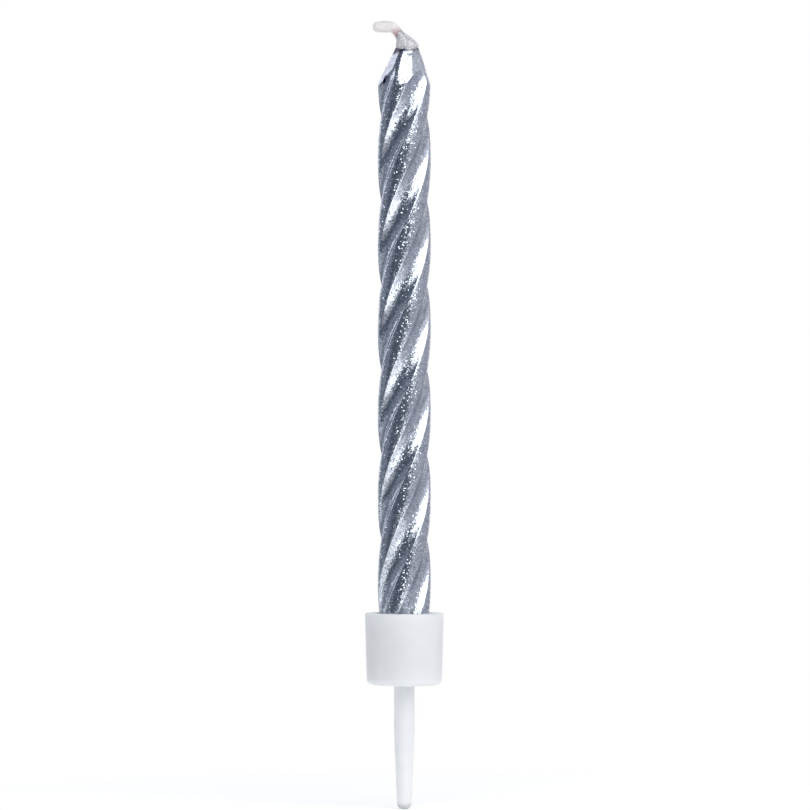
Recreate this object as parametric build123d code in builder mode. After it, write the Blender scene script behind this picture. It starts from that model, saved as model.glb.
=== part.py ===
from build123d import *
import os
from math import atan2, cos, radians, sin, tan

# Spiral birthday candle standing in its cake holder.
# Sizes are in millimetres and angles in degrees, with +Z up. The origin is on the axis, at the underside
# of the cup, which rests on the top of the cake.

# Candle: a twisted rod of broad ridges with round grooves between them, and a skin of silver lacquer
candle_diameter = 5.04
candle_length = 58.8
ridge_count = 4
ridge_round = 0.75
ridge_start_angle = 85.6
groove_depth = 0.58
groove_radius = 1.4
twist_lead = 31.9
taper_length = 3.6
tip_diameter = 2.17
coat_thickness = 0.12
bond_gap = 0.02

# Wick: straight through the wax, then leaning and bent over to a short stub
wick_diameter = 1.1
wick_clearance = 0.02
wick_lean_length = 1.58
wick_lean_angle = 18.4
wick_stub_length = 2.49
wick_stub_angle = 79.0
wick_end_round = 0.2

# Bare wax that climbs the foot of the wick
meniscus_height = 0.95
meniscus_wall = 0.1

# Holder: a cup with a socket for the candle, on a spike for the cake
socket_depth = 5.4
socket_clearance = 0.1
cup_height = 6.8
cup_wall = 1.1
cup_draft = 0.17
rim_round = 0.2
base_round = 0.65
spike_diameter = 1.95
spike_length = 11.7
spike_straight = 4.0
spike_tip_diameter = 1.36
spike_tip_round = 0.58

# Places that follow from the sizes
candle_radius = candle_diameter / 2
candle_bottom = cup_height - socket_depth
candle_top = candle_bottom + candle_length
tip_radius = tip_diameter / 2
taper_rate = (candle_radius - tip_radius) / taper_length
taper_slant = cos(atan2(candle_radius - tip_radius, taper_length))
core_inset = coat_thickness + bond_gap
groove_centre = candle_radius - groove_depth + groove_radius
half_ridge_angle = 180 / ridge_count
wick_radius = wick_diameter / 2
socket_radius = candle_radius + socket_clearance
rim_radius = socket_radius + cup_wall
base_radius = rim_radius - cup_draft

# Share of the shorter run that an arc of the wick takes up on each side of its corner
arc_share = 0.45


def turn_radius(shorter_run, turn):
    """The largest arc that rounds a corner of the wick's route."""
    return arc_share * shorter_run / tan(radians(turn) / 2)


def lean(point, length, angle):
    """The point that lies a length away, to the left of straight up by an angle."""
    return point + Vector(-length * sin(radians(angle)), 0, length * cos(radians(angle)))


def tip_radius_under(inset):
    """Radius at the top end of the taper, below a skin of that thickness."""
    return tip_radius - inset / taper_slant


# Lines that the sweeps follow
with BuildLine() as candle_axis:
    Line((0, 0, candle_bottom), (0, 0, candle_top))

with BuildLine() as twist_guide:
    Helix(pitch=twist_lead, height=candle_length, radius=candle_radius, center=(0, 0, candle_bottom))

wick_start = Vector(0, 0, candle_bottom)
wick_root = Vector(0, 0, candle_top)
wick_bend = lean(wick_root, wick_lean_length, wick_lean_angle)
wick_end = lean(wick_bend, wick_stub_length, wick_stub_angle)
wick_turns = [
    turn_radius(wick_lean_length, wick_lean_angle),
    turn_radius(min(wick_lean_length, wick_stub_length), wick_stub_angle - wick_lean_angle),
]
print("wick arc radii", [round(radius, 2) for radius in wick_turns])

with BuildLine() as wick_route:
    FilletPolyline(wick_start, wick_root, wick_bend, wick_end, radius=wick_turns)


def twisted_rod(inset):
    """The twisted rod with its tapered tip, as it is below a skin of that thickness."""
    groove_start_angle = ridge_start_angle + half_ridge_angle
    tip_edge = tip_radius_under(inset)
    widest = 2 * candle_radius
    widest_level = candle_top - (widest - tip_edge) / taper_rate
    with BuildPart() as rod:
        with BuildSketch(Plane.XY.offset(candle_bottom)) as section:
            Circle(candle_radius - inset)
            with PolarLocations(groove_centre, ridge_count, start_angle=groove_start_angle):
                Circle(groove_radius + inset, mode=Mode.SUBTRACT)
            fillet(section.vertices(), ridge_round - inset)
        sweep(path=candle_axis.wire(), binormal=twist_guide.wire())
        with BuildSketch(Plane.XZ):
            with BuildLine():
                Polyline((tip_edge, candle_top), (widest, candle_top), (widest, widest_level), close=True)
            make_face()
        revolve(axis=Axis.Z, mode=Mode.SUBTRACT)
    return rod.part


rod_outside = twisted_rod(0)
rod_under_coat = twisted_rod(coat_thickness)
rod_of_wax = twisted_rod(core_inset)

# Silver coat: a skin that is open at the cut end and round the foot of the wick
with BuildPart() as silver_coat:
    add(rod_outside)
    add(rod_under_coat, mode=Mode.SUBTRACT)
silver_coat.part.label = "silver_coat"

# Wax core, with its meniscus and the bore that the wick fills
meniscus_lean = meniscus_height * tan(radians(wick_lean_angle))
with BuildPart() as wax_core:
    add(rod_of_wax)
    with BuildSketch(Plane.XY.offset(candle_top)):
        Circle(tip_radius_under(core_inset))
    with BuildSketch(Plane((-meniscus_lean, 0, candle_top + meniscus_height))):
        Circle(wick_radius + meniscus_wall)
    loft()
    with BuildSketch(Plane.XY.offset(candle_bottom)):
        Circle(wick_radius + wick_clearance)
    sweep(path=wick_route.wire(), mode=Mode.SUBTRACT)
wax_core.part.label = "wax_core"

# Wick
with BuildPart() as wick:
    with BuildSketch(Plane.XY.offset(candle_bottom)):
        Circle(wick_radius)
    sweep(path=wick_route.wire())
    fillet(wick.faces().sort_by(Axis.X)[0].edges(), wick_end_round)
wick.part.label = "wick"

# Holder, turned from one profile
with BuildPart() as holder:
    with BuildSketch(Plane.XZ) as profile:
        with BuildLine():
            Polyline(
                (0, -spike_length),
                (spike_tip_diameter / 2, -spike_length),
                (spike_diameter / 2, -spike_straight),
                (spike_diameter / 2, 0),
                (base_radius, 0),
                (rim_radius, cup_height),
                (socket_radius, cup_height),
                (socket_radius, candle_bottom),
                (0, candle_bottom),
                close=True,
            )
        make_face()
        rounded_corners = [
            ((spike_tip_diameter / 2, -spike_length), spike_tip_round),
            ((base_radius, 0), base_round),
            ((rim_radius, cup_height), rim_round),
            ((socket_radius, cup_height), rim_round),
        ]
        for corner, radius in rounded_corners:
            fillet(profile.vertices().sort_by_distance(corner)[0], radius)
    revolve(axis=Axis.Z)
holder.part.label = "holder"

os.makedirs("parts", exist_ok=True)
for piece in (holder, wax_core, silver_coat, wick):
    export_step(piece.part, f"parts/{piece.part.label}.step")
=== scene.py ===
import math

import bmesh
import bpy
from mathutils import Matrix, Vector, noise


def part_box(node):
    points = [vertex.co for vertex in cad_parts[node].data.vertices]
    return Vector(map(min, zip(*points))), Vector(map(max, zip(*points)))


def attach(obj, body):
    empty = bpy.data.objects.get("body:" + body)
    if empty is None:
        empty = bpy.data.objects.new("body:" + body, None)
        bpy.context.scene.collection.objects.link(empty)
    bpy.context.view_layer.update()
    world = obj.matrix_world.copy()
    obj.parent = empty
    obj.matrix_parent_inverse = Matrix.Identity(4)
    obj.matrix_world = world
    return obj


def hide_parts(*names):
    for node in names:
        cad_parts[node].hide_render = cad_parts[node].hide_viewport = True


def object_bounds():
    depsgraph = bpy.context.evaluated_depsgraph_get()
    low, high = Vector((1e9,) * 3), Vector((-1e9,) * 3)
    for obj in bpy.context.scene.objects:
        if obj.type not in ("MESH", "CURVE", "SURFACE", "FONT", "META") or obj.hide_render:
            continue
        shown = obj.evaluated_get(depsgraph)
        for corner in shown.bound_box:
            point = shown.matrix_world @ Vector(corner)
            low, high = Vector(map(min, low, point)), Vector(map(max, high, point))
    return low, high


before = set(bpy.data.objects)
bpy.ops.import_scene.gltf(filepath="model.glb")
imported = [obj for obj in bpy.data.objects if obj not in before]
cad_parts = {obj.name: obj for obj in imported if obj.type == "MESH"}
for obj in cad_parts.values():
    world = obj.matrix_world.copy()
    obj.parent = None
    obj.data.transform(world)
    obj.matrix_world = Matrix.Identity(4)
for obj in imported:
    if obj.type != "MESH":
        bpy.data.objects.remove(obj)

cad_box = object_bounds()

# The candle of the photograph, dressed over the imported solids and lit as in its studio.
# Lengths are in millimetres and angles in degrees. They turn into metres and radians where they are used.
MM = 0.001

# Camera: level, in front of the candle, at the photograph's scale
PHOTO_SIDE = 810
PHOTO_PX_PER_MM = 10.6
PHOTO_CUP_BASE_ROW = 685
PHOTO_AXIS_COLUMN = 404.3
CAMERA_DISTANCE = 510
CAMERA_NEAR_CLIP = 10
SENSOR = 36.0

# Candle, with its ends and its radius taken from the frame
COAT_LOW, COAT_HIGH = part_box("silver_coat")
CANDLE_BOTTOM = COAT_LOW.z / MM
CANDLE_TOP = COAT_HIGH.z / MM
CANDLE_RADIUS = (COAT_HIGH.x - COAT_LOW.x) / 2 / MM
RIDGE_COUNT = 4
RIDGE_START_ANGLE = 85.6
CREST_RADIUS = 1.5
GROOVE_DEPTH = 0.62
GROOVE_RADIUS = 2.2
SHOULDER_ROUND = 0.07
TWIST_LEAD = 31.9
COAT_THICKNESS = 0.12
BOND_GAP = 0.02

# Head: a cone whose tip stands to the right of the axis, with facets pressed into its front.
# A facet has its direction, its depth as a share of the radius, and its start above the taper's foot.
TAPER_LENGTH = 3.6
TIP_RADIUS = 1.085
TIP_LEAN = 0.26
HEAD_FACETS = [(-88, 0.050, 0.1), (-155, 0.10, -0.9), (-50, 0.073, 0.1)]
FACET_FADE = 1.0
FACET_REACH = 60
FACET_EDGE_ROUND = 0.02
HEAD_CORNER_ROUND = 0.07
TAPER_RATE = (CANDLE_RADIUS - TIP_RADIUS) / TAPER_LENGTH
TAPER_SLANT = math.cos(math.atan(TAPER_RATE))

# Centres of the arcs that make up the rod's section, by their distance from the axis
RIDGE_STEP = 2 * math.pi / RIDGE_COUNT
CREST_CENTRE = CANDLE_RADIUS - CREST_RADIUS
GROOVE_CENTRE = CANDLE_RADIUS - GROOVE_DEPTH + GROOVE_RADIUS

# Wick
WICK_LOW, WICK_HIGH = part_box("wick")
WICK_RADIUS = (WICK_HIGH.y - WICK_LOW.y) / 2 / MM
WICK_LEFT = WICK_LOW.x / MM

# Mesh steps, with finer rings on the head and a little below it
AROUND = 232
BODY_STEP = 0.2
HEAD_STEP = 0.05
HEAD_STEPS_FROM = CANDLE_TOP - 1.2 * TAPER_LENGTH
INSIDE_STEP = 1.0
RING_ANGLES = [2 * math.pi * index / AROUND for index in range(AROUND)]


def smooth_step(value):
    """0 below 0, 1 above 1, and an even S between them."""
    value = min(max(value, 0.0), 1.0)
    return value * value * (3 - 2 * value)


def smooth_least(first, second, softness):
    """The lesser of two values, with the corner where they cross rounded off."""
    blend = max(softness - abs(first - second), 0.0) / softness
    return min(first, second) - blend * blend * softness / 4


def spread(low, high, step):
    """Even steps from low to high, both included."""
    count = max(1, round((high - low) / step))
    return [low + (high - low) * index / count for index in range(count + 1)]


def ring_mesh(name, rings, loop=True):
    """A smooth mesh of rings joined in turn: the last to the first in a loop, or else with closed ends."""
    around = len(rings[0])
    points = [Vector(point) * MM for ring in rings for point in ring]
    faces = []
    for row in range(len(rings) if loop else len(rings) - 1):
        base = row * around
        above = (row + 1) % len(rings) * around
        for index in range(around):
            beside = (index + 1) % around
            faces.append((base + index, base + beside, above + beside, above + index))
    if not loop:
        faces.append(tuple(reversed(range(around))))
        last = (len(rings) - 1) * around
        faces.append(tuple(range(last, last + around)))
    mesh = bpy.data.meshes.new(name)
    mesh.from_pydata(points, [], faces)
    form = bmesh.new()
    form.from_mesh(mesh)
    bmesh.ops.recalc_face_normals(form, faces=form.faces)
    form.to_mesh(mesh)
    form.free()
    mesh.shade_smooth()
    piece = bpy.data.objects.new(name, mesh)
    bpy.context.collection.objects.link(piece)
    return piece


def section_radius(angle, inset):
    """Distance from the axis to the rod's outline below a skin, at an angle from one of its crests."""
    from_crest = abs((angle + RIDGE_STEP / 2) % RIDGE_STEP - RIDGE_STEP / 2)
    from_groove = RIDGE_STEP / 2 - from_crest
    crest_radius = CREST_RADIUS - inset
    crest_side = CREST_CENTRE * math.sin(from_crest)
    crest = CREST_CENTRE * math.cos(from_crest) + math.sqrt(crest_radius ** 2 - crest_side ** 2)
    groove_radius = GROOVE_RADIUS + inset
    groove_side = GROOVE_CENTRE * math.sin(from_groove)
    if groove_side >= groove_radius:
        return crest
    groove = GROOVE_CENTRE * math.cos(from_groove) - math.sqrt(groove_radius ** 2 - groove_side ** 2)
    return smooth_least(crest, groove, SHOULDER_ROUND)


def taper_radius(height, inset):
    """Radius of the tapered head at a height, below a skin."""
    return TIP_RADIUS + (CANDLE_TOP - height) * TAPER_RATE - inset / TAPER_SLANT


def head_radius(direction, height, inset):
    """Distance from the axis to the head's surface: a cone with facets pressed into its front."""
    cone = taper_radius(height, inset)
    radius = cone
    above_foot = height - CANDLE_TOP + TAPER_LENGTH
    for facet_direction, depth, start in HEAD_FACETS:
        across = math.cos(direction - math.radians(facet_direction))
        faded_in = smooth_step((above_foot - start) / FACET_FADE)
        if across > math.cos(math.radians(FACET_REACH)):
            radius = smooth_least(radius, cone * (1 - depth * faded_in) / across, FACET_EDGE_ROUND)
    return radius


def twist_at(height):
    """Direction of the first crest at a height."""
    return math.radians(RIDGE_START_ANGLE + 360 * (height - CANDLE_BOTTOM) / TWIST_LEAD)


def head_shift(height):
    """Sideways shift of the head, whose tip stands a little to the right of the axis."""
    return TIP_LEAN * smooth_step(1 - (CANDLE_TOP - height) / TAPER_LENGTH)


def rod_ring(height, inset, relief=None, edge=None):
    """One ring of the rod, its points at fixed places across the ridges so that they follow the twist."""
    ring = []
    for ridge_angle in RING_ANGLES:
        direction = ridge_angle + twist_at(height)
        level = height + (edge(direction, height) if edge else 0)
        body = section_radius(ridge_angle, inset)
        radius = smooth_least(body, head_radius(direction, height, inset), HEAD_CORNER_ROUND)
        if relief:
            radius += relief(direction, level, radius)
        ring.append((
            radius * math.cos(direction) + head_shift(height),
            radius * math.sin(direction),
            level,
        ))
    return ring


# Silver skin: a crease at the left shoulder, the relief of the wax below, and the ragged upper edge
CREASE_DIRECTION = -141
CREASE_HEIGHT = CANDLE_TOP - 3.2
CREASE_HALF_WIDTH = 0.16
CREASE_HALF_LENGTH = 0.55
CREASE_DEPTH = 0.10
RELIEF_WAVE = 0.018
RELIEF_WAVE_LENGTH = 2.6
RELIEF_DENT = 0.006
RELIEF_DENT_LENGTH = 0.7
EDGE_RAGGED = 0.10
EDGE_RAGGED_LENGTH = 0.55
EDGE_FRONT_DIP = 0.26
EDGE_DEPTH = 1.2
RIM_RISE = 0.03


def skin_relief(direction, height, radius):
    """The lacquered wax's unevenness: long waves, shallow dents and a crease at the left shoulder."""
    place = Vector((radius * math.cos(direction), radius * math.sin(direction), height))
    wave = noise.noise(place / RELIEF_WAVE_LENGTH)
    dent = noise.noise(place / RELIEF_DENT_LENGTH)
    relief = RELIEF_WAVE * wave + RELIEF_DENT * dent
    up = (height - CREASE_HEIGHT) / CREASE_HALF_LENGTH
    turn = (direction - math.radians(CREASE_DIRECTION) + math.pi) % (2 * math.pi) - math.pi
    aside = turn * radius / CREASE_HALF_WIDTH
    return relief - CREASE_DEPTH * math.exp(-up * up - aside * aside)


def skin_edge(direction, height):
    """How far the skin's ragged upper edge moves up or down, fading out below it."""
    fade = smooth_step(1 - (CANDLE_TOP - height) / EDGE_DEPTH)
    place = Vector((math.cos(direction), math.sin(direction), 0)) * TIP_RADIUS / EDGE_RAGGED_LENGTH
    front = max(-math.sin(direction), 0)
    return fade * (EDGE_RAGGED * noise.noise(place) - EDGE_RAGGED - EDGE_FRONT_DIP * front)


def make_silver_skin():
    """The closed skin: up the outside, over the ragged edge and down the inside."""
    heights = spread(CANDLE_BOTTOM, HEAD_STEPS_FROM, BODY_STEP)[:-1]
    heights += spread(HEAD_STEPS_FROM, CANDLE_TOP, HEAD_STEP)
    rings = [rod_ring(height, 0, skin_relief, skin_edge) for height in heights]
    rim = rod_ring(CANDLE_TOP, COAT_THICKNESS / 2, None, skin_edge)
    rings.append([(x, y, z + RIM_RISE) for x, y, z in rim])
    for height in reversed(spread(CANDLE_BOTTOM, CANDLE_TOP, INSIDE_STEP)):
        rings.append(rod_ring(height, COAT_THICKNESS, None, skin_edge))
    return ring_mesh("silver_skin", rings)


# Wax body: the lump at the wick's foot, from the photograph.
# A ring of it has its height above the candle's top, its sideways place and its radius.
WAX_INSET = COAT_THICKNESS + BOND_GAP
WAX_LUMP = [
    (-0.18, 0.26, 0.93),
    (-0.06, 0.27, 1.02),
    (0.10, 0.27, 1.07),
    (0.30, 0.26, 1.06),
    (0.48, 0.20, 0.97),
    (0.66, 0.10, 0.85),
    (0.84, 0.00, 0.74),
    (1.02, -0.13, 0.64),
    (1.20, -0.29, 0.55),
    (1.36, -0.44, 0.46),
    (1.46, -0.52, 0.34),
]
LUMP_UNEVEN = 0.05
LUMP_UNEVEN_LENGTH = 0.5
BORE_RADIUS = WICK_RADIUS + BOND_GAP
END_FACE_SHARES = (0.35, 0.7, 0.92)


def round_ring(level, shift, radius, uneven=0.0):
    """A level circle, drawn from the same directions as the rod's rings."""
    ring = []
    for ridge_angle in RING_ANGLES:
        direction = ridge_angle + twist_at(CANDLE_TOP)
        place = Vector((radius * math.cos(direction) + shift, radius * math.sin(direction), level))
        reach = radius + uneven * noise.noise(place / LUMP_UNEVEN_LENGTH)
        ring.append((reach * math.cos(direction) + shift, reach * math.sin(direction), level))
    return ring


def make_wax_body():
    """The closed wax body: out along its cut end, up under the skin, over the lump and down the bore."""
    outline = rod_ring(CANDLE_BOTTOM, WAX_INSET)
    bore = []
    for ridge_angle in RING_ANGLES:
        direction = ridge_angle + twist_at(CANDLE_BOTTOM)
        bore.append((BORE_RADIUS * math.cos(direction), BORE_RADIUS * math.sin(direction), CANDLE_BOTTOM))
    rings = [bore]
    for share in END_FACE_SHARES:
        rings.append([
            tuple(Vector(inner).lerp(Vector(outer), share)) for inner, outer in zip(bore, outline)
        ])
    lump_foot = CANDLE_TOP + WAX_LUMP[0][0]
    rings += [rod_ring(height, WAX_INSET) for height in spread(CANDLE_BOTTOM, lump_foot, INSIDE_STEP)[:-1]]
    for above_top, shift, radius in WAX_LUMP:
        rings.append(round_ring(CANDLE_TOP + above_top, shift, radius, LUMP_UNEVEN))
    rings.append(round_ring(lump_foot, 0.0, BORE_RADIUS))
    return ring_mesh("wax_body", rings)


# Wick: foot, bend and end of its line, and the neck where it is pinched, from the photograph
WICK_FOOT = Vector((0.0, 0.0, CANDLE_TOP))
WICK_FOOT_HANDLE = Vector((-0.20, 0.0, 0.95))
WICK_BEND = WICK_FOOT + Vector((-1.35, 0.0, 1.90))
WICK_BEND_HANDLE = Vector((0.50, 0.0, 0.0))
WICK_END_INSET = 0.03
WICK_END = Vector((WICK_LEFT + WICK_END_INSET, 0.0, WICK_BEND.z))
WICK_NECK_PLACE = WICK_FOOT + Vector((-0.57, 0.0, 1.30))
WICK_NECK = 0.16
WICK_NECK_LENGTH = 0.55
WICK_AROUND = 48
WICK_STEP = 0.05
WICK_END_ROUND = 0.42
WICK_END_FLAT = 0.1414
YARN_COUNT = 6
YARN_LEAD = 1.9
YARN_RELIEF = 0.022
WICK_UNEVEN = 0.045
WICK_UNEVEN_LENGTH = 0.75


def wick_line():
    """Points along the wick, from the candle's cut end to the tip of the stub."""
    levels = spread(CANDLE_BOTTOM + BOND_GAP, WICK_FOOT.z, INSIDE_STEP)
    straight = [Vector((0, 0, level)) for level in levels]
    bend_count = round((WICK_BEND - WICK_FOOT).length / WICK_STEP) + 1
    bend = []
    for index in range(1, bend_count + 1):
        share = index / bend_count
        rest = 1 - share
        bend.append(
            WICK_FOOT * rest ** 3
            + (WICK_FOOT + WICK_FOOT_HANDLE) * 3 * rest ** 2 * share
            + (WICK_BEND + WICK_BEND_HANDLE) * 3 * rest * share ** 2
            + WICK_BEND * share ** 3
        )
    stub_length = (WICK_END - WICK_BEND).length
    stub = [WICK_BEND.lerp(WICK_END, along / stub_length) for along in spread(0, stub_length, WICK_STEP)[1:]]
    return straight + bend + stub


def make_wick():
    """The waxed wick: a tube with the yarns' relief, pinched at its bend and rounded at its end."""
    line = wick_line()
    side = Vector((0, 1, 0))
    travelled = 0.0
    rings = []
    for index, point in enumerate(line):
        before = line[max(index - 1, 0)]
        after = line[min(index + 1, len(line) - 1)]
        forward = (after - before).normalized()
        travelled += (point - before).length
        upward = side.cross(forward)
        neck = 1 - WICK_NECK * math.exp(-((point - WICK_NECK_PLACE).length / WICK_NECK_LENGTH) ** 2)
        to_end = (WICK_END - point).length
        rounding = 1.0
        if to_end < WICK_END_ROUND:
            rounding = max(math.sqrt(1 - (1 - to_end / WICK_END_ROUND) ** 2), WICK_END_FLAT)
        ring = []
        for step in range(WICK_AROUND):
            angle = 2 * math.pi * step / WICK_AROUND
            spoke = side * math.cos(angle) + upward * math.sin(angle)
            yarn = math.cos(YARN_COUNT * angle + 2 * math.pi * travelled / YARN_LEAD)
            lump = noise.noise((point + spoke * WICK_RADIUS) / WICK_UNEVEN_LENGTH)
            radius = WICK_RADIUS * neck - YARN_RELIEF + YARN_RELIEF * yarn + WICK_UNEVEN * min(lump, 0)
            ring.append(tuple(point + spoke * radius * rounding))
        rings.append(ring)
    return ring_mesh("waxed_wick", rings, loop=False)


# Vector operations that give a value
MEASURES = ("DOT_PRODUCT", "DISTANCE", "LENGTH")


class Shader:
    """A material or world under construction, with short ways to add and join nodes."""

    def __init__(self, owner):
        owner.use_nodes = True
        self.tree = owner.node_tree
        self.tree.nodes.clear()

    def add(self, kind, **settings):
        """A new node with some of its settings changed."""
        node = self.tree.nodes.new("ShaderNode" + kind)
        for key, value in settings.items():
            setattr(node, key, value)
        return node

    def feed(self, socket, source):
        """Links another node's output to a socket, or sets the socket to a constant."""
        if isinstance(source, bpy.types.NodeSocket):
            self.tree.links.new(source, socket)
        else:
            socket.default_value = source

    def math(self, operation, first, second):
        """Two values added, compared or the like."""
        node = self.add("Math", operation=operation)
        self.feed(node.inputs[0], first)
        self.feed(node.inputs[1], second)
        return node.outputs[0]

    def vector(self, operation, first, second=None):
        """A sum of vectors or the like, or the measure of a vector."""
        node = self.add("VectorMath", operation=operation)
        self.feed(node.inputs[0], first)
        if second is not None:
            self.feed(node.inputs[1], second)
        return node.outputs["Value" if operation in MEASURES else "Vector"]

    def scaled(self, vector, amount):
        """A vector or a colour times a value."""
        node = self.add("VectorMath", operation="SCALE")
        self.feed(node.inputs[0], vector)
        self.feed(node.inputs["Scale"], amount)
        return node.outputs["Vector"]

    def place_mm(self):
        """The surface point, in millimetres."""
        return self.scaled(self.add("TexCoord").outputs["Object"], 1 / MM)

    def noise(self, place, size, detail, roughness):
        """Noise with features of about that size in millimetres."""
        node = self.add("TexNoise")
        node.inputs["Scale"].default_value = 1 / size
        node.inputs["Detail"].default_value = detail
        node.inputs["Roughness"].default_value = roughness
        self.feed(node.inputs["Vector"], place)
        return node.outputs["Fac"]

    def span(self, value, low, high, start=0.0, end=1.0, curve="LINEAR"):
        """A value between start and end, spread over the range from low to high."""
        node = self.add("MapRange", interpolation_type=curve)
        self.feed(node.inputs["Value"], value)
        node.inputs["From Min"].default_value = start
        node.inputs["From Max"].default_value = end
        node.inputs["To Min"].default_value = low
        node.inputs["To Max"].default_value = high
        return node.outputs["Result"]

    def ramp(self, value, stops):
        """A colour ramp over a value, from pairs of position and colour."""
        node = self.add("ValToRGB")
        elements = node.color_ramp.elements
        while len(elements) < len(stops):
            elements.new(0.5)
        for element, (position, colour) in zip(elements, stops):
            element.position = position
            element.color = (*colour, 1)
        self.feed(node.inputs["Fac"], value)
        return node.outputs["Color"]

    def mix(self, factor, first, second, blend_type="MIX"):
        """The first colour, turning into its blend with the second as the factor rises."""
        node = self.add("Mix", data_type="RGBA", blend_type=blend_type)
        self.feed(node.inputs["Factor"], factor)
        self.feed(node.inputs["A"], first)
        self.feed(node.inputs["B"], second)
        return node.outputs["Result"]

    def bump(self, height, strength, depth):
        """A normal that follows a height of so many millimetres."""
        node = self.add("Bump")
        node.inputs["Strength"].default_value = strength
        node.inputs["Distance"].default_value = depth * MM
        self.feed(node.inputs["Height"], height)
        return node.outputs["Normal"]

    def surface(self, **sockets):
        """A Principled shader on the output, its sockets fed by other nodes or set to constants."""
        principled = self.add("BsdfPrincipled")
        for socket, source in sockets.items():
            self.feed(principled.inputs[socket.replace("_", " ")], source)
        output = self.add("OutputMaterial")
        self.feed(output.inputs["Surface"], principled.outputs[0])


def new_material(name):
    """An empty material and the shader to build it with."""
    material = bpy.data.materials.new(name)
    return material, Shader(material)


# A noise below has its size, detail and roughness, and a bump its strength and depth.
# Silver lacquer: flakes at slightly different tilts, a few of them steep, over a faintly mottled ground
FLAKE_SIZE = 0.10
FLAKE_TILT = 0.13
FLAKE_TILT_STEEP = 0.60
FLAKE_STEEP_FROM = 0.84
FLAKE_TONES = (0.58, 1.22)
FLAKE_MIDDLE = (0.5, 0.5, 0.5)
SILVER_DARK = (0.61, 0.66, 0.74)
SILVER_LIGHT = (0.73, 0.78, 0.86)
SILVER_ROUGHNESS = (0.12, 0.22)
SILVER_STOPS = [(0.35, SILVER_DARK), (0.65, SILVER_LIGHT)]
SILVER_MOTTLE = (0.45, 4.0, 0.6)
SILVER_SMEAR = (0.25, 3.0, 0.5)
SILVER_RIPPLE = (0.35, 2.0, 0.5)
SILVER_RIPPLE_BUMP = (0.25, 0.02)

# Painted shade in the lacquer's colour: along its upper edge, more so on the left, and in a slit at the left
# shoulder's crease
PAINTED_SHADE_TINT = (0.03, 0.026, 0.055)
SHADED_EDGE_LOW = CANDLE_TOP - 0.65
SHADED_EDGE_HIGH = CANDLE_TOP - 0.40
SHADED_EDGE_LEFT = 0.2
SHADED_EDGE_RAGGED = 0.25
SHADED_EDGE_NOISE = (0.3, 2.0, 0.5)
SLIT_PLACE = (-1.85, -1.1, CANDLE_TOP - 3.15)
SLIT_LEAN = 14
SLIT_HALF_SIZES = (0.19, 1.1, 0.66)
SLIT_CORE = 0.6


def painted_shade_places(shader, place):
    """1 where shade is painted into the lacquer's colour: at its edge, which is lower in front, and in the
    slit.
    """
    axes = shader.add("SeparateXYZ")
    shader.feed(axes.inputs[0], place)
    ragged = shader.noise(place, *SHADED_EDGE_NOISE)
    shifts = [
        shader.span(ragged, -SHADED_EDGE_RAGGED, SHADED_EDGE_RAGGED),
        shader.span(axes.outputs["X"], SHADED_EDGE_LEFT, -SHADED_EDGE_LEFT, -TIP_RADIUS, TIP_RADIUS),
        shader.span(axes.outputs["Y"], 0, -EDGE_FRONT_DIP, 0, TIP_RADIUS),
    ]
    level = axes.outputs["Z"]
    for shift in shifts:
        level = shader.math("ADD", level, shift)
    edge = shader.span(level, 0, 1, SHADED_EDGE_LOW, SHADED_EDGE_HIGH)
    slit = shader.add("Mapping", vector_type="TEXTURE")
    slit.inputs["Location"].default_value = SLIT_PLACE
    slit.inputs["Rotation"].default_value = (0, math.radians(SLIT_LEAN), 0)
    slit.inputs["Scale"].default_value = SLIT_HALF_SIZES
    shader.feed(slit.inputs["Vector"], place)
    reach = shader.vector("LENGTH", slit.outputs["Vector"])
    return shader.math("MAXIMUM", edge, shader.span(reach, 0, 1, 1, SLIT_CORE))


def silver_material():
    """Metallic lacquer, whose flakes differ in tone and tilt, with shade painted into its colour at the
    upper edge and in the slit.
    """
    material, shader = new_material("silver_lacquer")
    place = shader.place_mm()
    flakes = shader.add("TexVoronoi")
    flakes.inputs["Scale"].default_value = 1 / FLAKE_SIZE
    shader.feed(flakes.inputs["Vector"], place)
    flake = flakes.outputs["Color"]
    chance = shader.add("SeparateColor")
    shader.feed(chance.inputs[0], flake)

    ground = shader.ramp(shader.noise(place, *SILVER_MOTTLE), SILVER_STOPS)
    toned = shader.scaled(ground, shader.span(chance.outputs["Green"], *FLAKE_TONES))

    ripples = shader.bump(shader.noise(place, *SILVER_RIPPLE), *SILVER_RIPPLE_BUMP)
    steepness = shader.span(chance.outputs["Blue"], FLAKE_TILT, FLAKE_TILT_STEEP, FLAKE_STEEP_FROM)
    tilt = shader.scaled(shader.vector("SUBTRACT", flake, FLAKE_MIDDLE), steepness)
    shader.surface(
        # The base colour turns to the painted shade tint at the upper edge and in the slit at the shoulder.
        Base_Color=shader.mix(painted_shade_places(shader, place), toned, (*PAINTED_SHADE_TINT, 1)),
        Metallic=1.0,
        Roughness=shader.span(shader.noise(place, *SILVER_SMEAR), *SILVER_ROUGHNESS),
        Normal=shader.vector("NORMALIZE", shader.vector("ADD", ripples, tilt)),
    )
    return material


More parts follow.
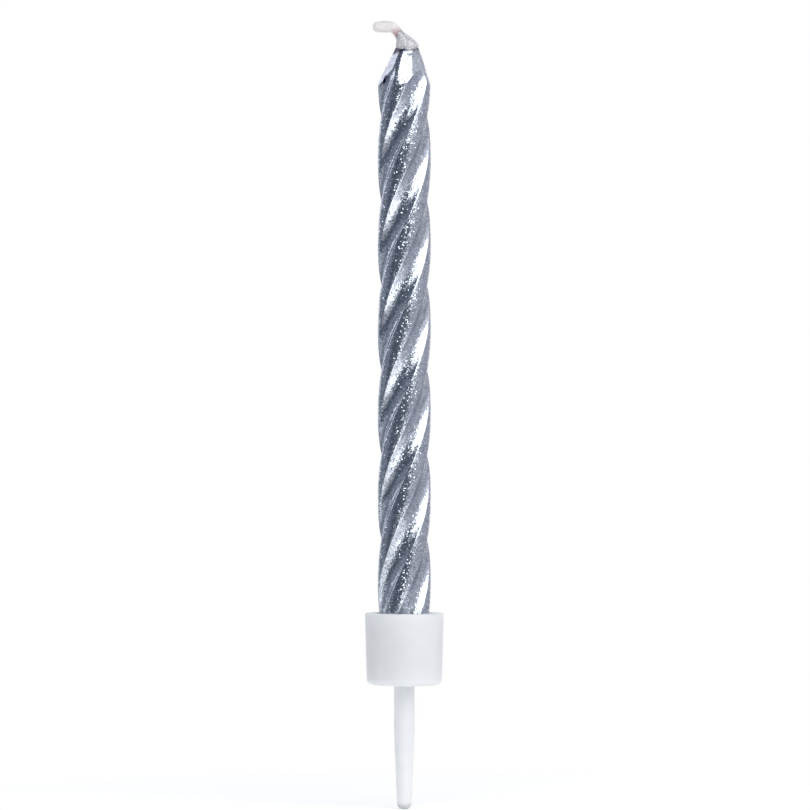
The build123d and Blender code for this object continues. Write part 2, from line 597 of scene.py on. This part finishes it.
# Wax, wick and holder
WAX_CLOUD = (0.22, 3.0, 0.65)
WAX_BUMP = (0.5, 0.05)
WAX_COLOURS = [(0.32, (0.36, 0.36, 0.38)), (0.5, (0.58, 0.58, 0.60)), (0.68, (0.80, 0.79, 0.80))]
CLOTH = (0.18, 4.0, 0.6)
CLOTH_BUMP = (0.4, 0.04)
CLOTH_COLOURS = [(0.3, (0.66, 0.63, 0.61)), (0.7, (0.74, 0.715, 0.70))]
BLUSH_PLACE = WICK_FOOT + Vector((-0.55, -0.3, 1.15))
BLUSH_COLOURS = [(0.1, (0.55, 0.34, 0.38)), (0.85, (1.0, 1.0, 1.0))]
PLASTIC_CLOUD = (1.6, 3.0, 0.5)
PLASTIC_COLOURS = [(0.3, (0.785, 0.805, 0.810)), (0.7, (0.815, 0.832, 0.838))]
PLASTIC_ROUGHNESS = (0.36, 0.5)
PLASTIC_SMEAR = (0.3, 4.0, 0.5)
PLASTIC_GRAIN = (0.12, 3.0, 0.5)
PLASTIC_GRAIN_BUMP = (0.12, 0.02)


def wax_material():
    """Cloudy white wax."""
    material, shader = new_material("wax")
    cloud = shader.noise(shader.place_mm(), *WAX_CLOUD)
    shader.surface(
        Base_Color=shader.ramp(cloud, WAX_COLOURS),
        Roughness=0.32,
        Subsurface_Weight=0.35,
        Subsurface_Scale=0.6 * MM,
        Subsurface_Radius=(1.0, 0.9, 0.8),
        Normal=shader.bump(cloud, *WAX_BUMP),
    )
    return material


def wick_material():
    """Waxed cotton, with a pink blush at the bend."""
    material, shader = new_material("wick_cotton")
    place = shader.place_mm()
    cloth = shader.noise(place, *CLOTH)
    blush = shader.ramp(shader.vector("DISTANCE", place, BLUSH_PLACE), BLUSH_COLOURS)
    shader.surface(
        Base_Color=shader.mix(1.0, shader.ramp(cloth, CLOTH_COLOURS), blush, "MULTIPLY"),
        Roughness=0.6,
        Subsurface_Weight=0.9,
        Subsurface_Scale=2.0 * MM,
        Subsurface_Radius=(1.0, 0.9, 0.85),
        Normal=shader.bump(cloth, *CLOTH_BUMP),
    )
    return material


def holder_material():
    """White moulded plastic that lets some light through."""
    material, shader = new_material("holder_plastic")
    place = shader.place_mm()
    shader.surface(
        Base_Color=shader.ramp(shader.noise(place, *PLASTIC_CLOUD), PLASTIC_COLOURS),
        Roughness=shader.span(shader.noise(place, *PLASTIC_SMEAR), *PLASTIC_ROUGHNESS),
        Subsurface_Weight=0.7,
        Subsurface_Scale=2.2 * MM,
        Subsurface_Radius=(1.0, 1.0, 1.0),
        Normal=shader.bump(shader.noise(place, *PLASTIC_GRAIN), *PLASTIC_GRAIN_BUMP),
    )
    return material


# Studio: the room that the silver mirrors, with soft glows, a white backdrop and three lamps
ROOM = (0.098, 0.118, 0.155)
BACKDROP_DIRECTION = Vector((0, 1, 0))
BACKDROP_INNER = 20
BACKDROP_OUTER = 45
GLOWS = [
    # azimuth, elevation, inner and outer half angle, colour
    (-148, 0, 5, 45, (0.36, 0.38, 0.44)),
    (-140, 34, 8, 30, (0.95, 0.95, 1.05)),
    (-90, 14, 8, 38, (0.25, 0.275, 0.325)),
    (-147, 12, 6, 17, (1.1, 1.1, 1.2)),
    (-122, 16, 5, 12, (1.5, 1.5, 1.6)),
    (-112, 30, 6, 13, (1.2, 1.2, 1.3)),
    (-95, -33, 8, 28, (0.56, 0.58, 0.64)),
    (75, -5, 5, 70, (0.47, 0.47, 0.53)),
    (130, 22, 10, 40, (0.52, 0.51, 0.57)),
    (100, 12, 4, 12, (0.40, 0.40, 0.46)),
    (-28, 31, 4, 12, (0.70, 0.70, 0.75)),
    (32, 22, 6, 27, (0.75, 0.75, 0.78)),
    (68, 26, 6, 19, (0.85, 0.85, 0.88)),
    (92, 38, 8, 20, (0.68, 0.68, 0.71)),
    (-30, -24, 5, 19, (0.50, 0.50, 0.53)),
    (0, -27, 6, 19, (1.30, 1.30, 1.33)),
    (42, -35, 8, 26, (1.20, 1.20, 1.23)),
    (72, -37, 6, 19, (1.20, 1.20, 1.23)),
    (20, -30, 8, 24, (1.85, 1.85, 1.88)),
]
LAMPS = {
    # azimuth, elevation, distance, width, height, radiance, and whether the metal mirrors it
    "key": (17, 46, 750, 980, 800, 1.56, True),
    "fill": (-75, -12, 750, 800, 800, 0.36, False),
    "table": (0, -90, 37.6, 500, 500, 0.33, False),
}
LAMP_WATTS = 4

# Floor, of which the diffuse part takes the shadow and the glow makes up the white
FLOOR_RADIUS = 50
FLOOR_SEGMENTS = 128
FLOOR_COLOUR = (0.70, 0.70, 0.70)
FLOOR_GLOW = 0.48


def bearing(azimuth, elevation):
    """Direction to the right of the camera's side by the azimuth, and up by the elevation."""
    side = math.radians(azimuth)
    up = math.radians(elevation)
    return Vector((math.sin(side) * math.cos(up), -math.cos(side) * math.cos(up), math.sin(up)))


def add_camera():
    """The photograph's camera, whose picture plane at the candle has the photograph's scale."""
    half_side = PHOTO_SIDE / 2
    centre_height = (PHOTO_CUP_BASE_ROW - half_side) / PHOTO_PX_PER_MM
    centre_side = (half_side - PHOTO_AXIS_COLUMN) / PHOTO_PX_PER_MM
    data = bpy.data.cameras.new("camera")
    data.sensor_width = SENSOR
    data.lens = SENSOR * CAMERA_DISTANCE / (PHOTO_SIDE / PHOTO_PX_PER_MM)
    data.clip_start = CAMERA_NEAR_CLIP * MM
    camera = bpy.data.objects.new("camera", data)
    camera.location = Vector((centre_side, -CAMERA_DISTANCE, centre_height)) * MM
    camera.rotation_euler = (math.radians(90), 0, 0)
    bpy.context.collection.objects.link(camera)
    bpy.context.scene.camera = camera
    return Vector((centre_side, 0, centre_height)) * MM


def facing(shader, place, direction, inner, outer):
    """1 within the inner angle of a direction, and 0 beyond the outer one."""
    nearness = shader.vector("DOT_PRODUCT", place, direction)
    far, near = [math.cos(math.radians(angle)) for angle in (outer, inner)]
    return shader.span(nearness, 0, 1, far, near, "SMOOTHSTEP")


def add_world():
    """A dim room with soft glows and a white backdrop behind the candle. The camera sees white all round."""
    world = bpy.data.worlds.new("studio")
    bpy.context.scene.world = world
    shader = Shader(world)
    place = shader.add("TexCoord").outputs["Generated"]
    colour = (*ROOM, 1)
    for azimuth, elevation, inner, outer, tint in GLOWS:
        glow = facing(shader, place, bearing(azimuth, elevation), inner, outer)
        colour = shader.mix(glow, colour, (*tint, 1))
    backdrop = facing(shader, place, BACKDROP_DIRECTION, BACKDROP_INNER, BACKDROP_OUTER)
    white = shader.math("MAXIMUM", shader.add("LightPath").outputs["Is Camera Ray"], backdrop)
    background = shader.add("Background")
    shader.feed(background.inputs["Color"], shader.mix(white, colour, (1, 1, 1, 1)))
    output = shader.add("OutputWorld")
    shader.feed(output.inputs["Surface"], background.outputs[0])


def add_lamp(name, centre, azimuth, elevation, distance, width, height, radiance, mirrored):
    """An area lamp that faces the candle, with so many watts for each square metre and unit of radiance."""
    away = bearing(azimuth, elevation)
    data = bpy.data.lights.new(name, "AREA")
    data.shape = "RECTANGLE"
    data.size = width * MM
    data.size_y = height * MM
    data.energy = LAMP_WATTS * radiance * data.size * data.size_y
    lamp = bpy.data.objects.new(name, data)
    lamp.location = centre + away * distance * MM
    lamp.rotation_mode = "QUATERNION"
    lamp.rotation_quaternion = away.to_track_quat("Z", "Y")
    lamp.visible_glossy = mirrored
    bpy.context.collection.objects.link(lamp)


def add_floor():
    """A round pale floor under the spike's end, which looks white but keeps the candle's shadow."""
    level = cad_box[0][2]
    mesh = bpy.data.meshes.new("floor")
    form = bmesh.new()
    bmesh.ops.create_circle(form, cap_ends=True, segments=FLOOR_SEGMENTS, radius=FLOOR_RADIUS * MM)
    form.to_mesh(mesh)
    form.free()
    floor = bpy.data.objects.new("floor", mesh)
    floor.location = (0, 0, level)
    bpy.context.collection.objects.link(floor)
    material, shader = new_material("floor")
    diffuse = shader.add("BsdfDiffuse")
    diffuse.inputs["Color"].default_value = (*FLOOR_COLOUR, 1)
    rays = shader.add("LightPath").outputs
    seen = shader.math("MAXIMUM", rays["Is Camera Ray"], rays["Is Glossy Ray"])
    seen = shader.math("MAXIMUM", seen, rays["Is Transmission Ray"])
    glow = shader.add("Emission")
    shader.feed(glow.inputs["Strength"], shader.math("MULTIPLY", seen, FLOOR_GLOW))
    both = shader.add("AddShader")
    shader.feed(both.inputs[0], diffuse.outputs[0])
    shader.feed(both.inputs[1], glow.outputs[0])
    output = shader.add("OutputMaterial")
    shader.feed(output.inputs["Surface"], both.outputs[0])
    mesh.materials.append(material)


def dress(piece, material, body, node):
    """Finishes a new piece: its material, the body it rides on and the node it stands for."""
    piece.data.materials.append(material)
    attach(piece, body)
    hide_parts(node)


dress(make_silver_skin(), silver_material(), "candle", "silver_coat")
dress(make_wax_body(), wax_material(), "candle", "wax_core")
dress(make_wick(), wick_material(), "candle", "wick")

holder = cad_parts["holder"]
holder.data.materials.clear()
holder.data.materials.append(holder_material())

picture_centre = add_camera()
add_world()
add_floor()
for lamp_name, settings in LAMPS.items():
    add_lamp(lamp_name, picture_centre, *settings)

bpy.context.scene.view_settings.view_transform = "Standard"
